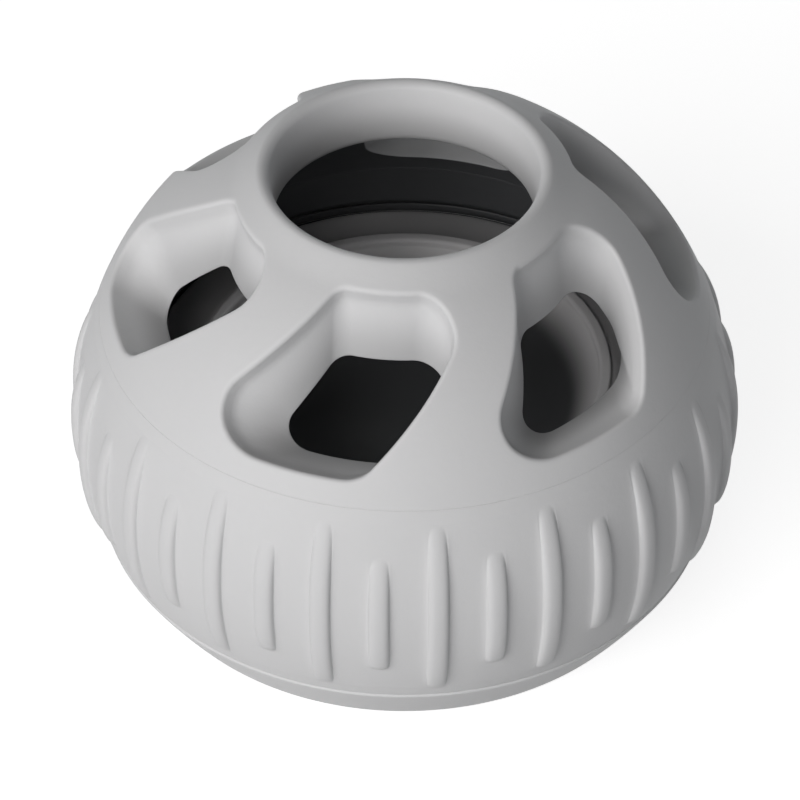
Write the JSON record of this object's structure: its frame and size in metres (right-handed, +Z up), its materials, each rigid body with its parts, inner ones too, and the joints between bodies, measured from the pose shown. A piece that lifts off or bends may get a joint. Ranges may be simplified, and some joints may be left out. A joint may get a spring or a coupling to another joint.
{
  "type": "treat dispensing ball",
  "caption": "Soft ball in two screw-together halves: a dome with a round mouth and skewed windows over a ribbed bowl with a dished treat cup and a flat foot.",
  "frame": {"origin": "centre of the flat rest face under the foot", "axes": "+Z up along the ball's axis through the mouth, -Y towards the front, +X to the front's right"},
  "size_m": [0.0972, 0.0972, 0.0678],
  "materials": {
    "soft_body": "matt, smooth moulded",
    "cup": "satin",
    "collar": "matt",
    "seal": "matt"
  },
  "bodies": {
    "lower": {"lower_bowl": "soft_body", "lower_collar": "collar", "treat_cup": "cup", "base_foot": "soft_body"},
    "seal": {"seal_ring": "seal"},
    "upper": {"upper_dome": "soft_body", "upper_collar": "collar"}
  },
  "joints": [
    {"name": "lift", "type": "slide", "parent": "lower", "child": "seal", "axis": [0, 0, 1], "range_m": [0, 0.0101]},
    {"name": "unscrew", "type": "hinge", "parent": "seal", "child": "upper", "pos_m": [0, 0, 0], "axis": [0, 0, 1], "range_deg": [0, 300]}
  ],
  "couplings": [
    {"joint": "lift", "follows": "unscrew", "m_per_rad": 0.0019099}
  ]
}
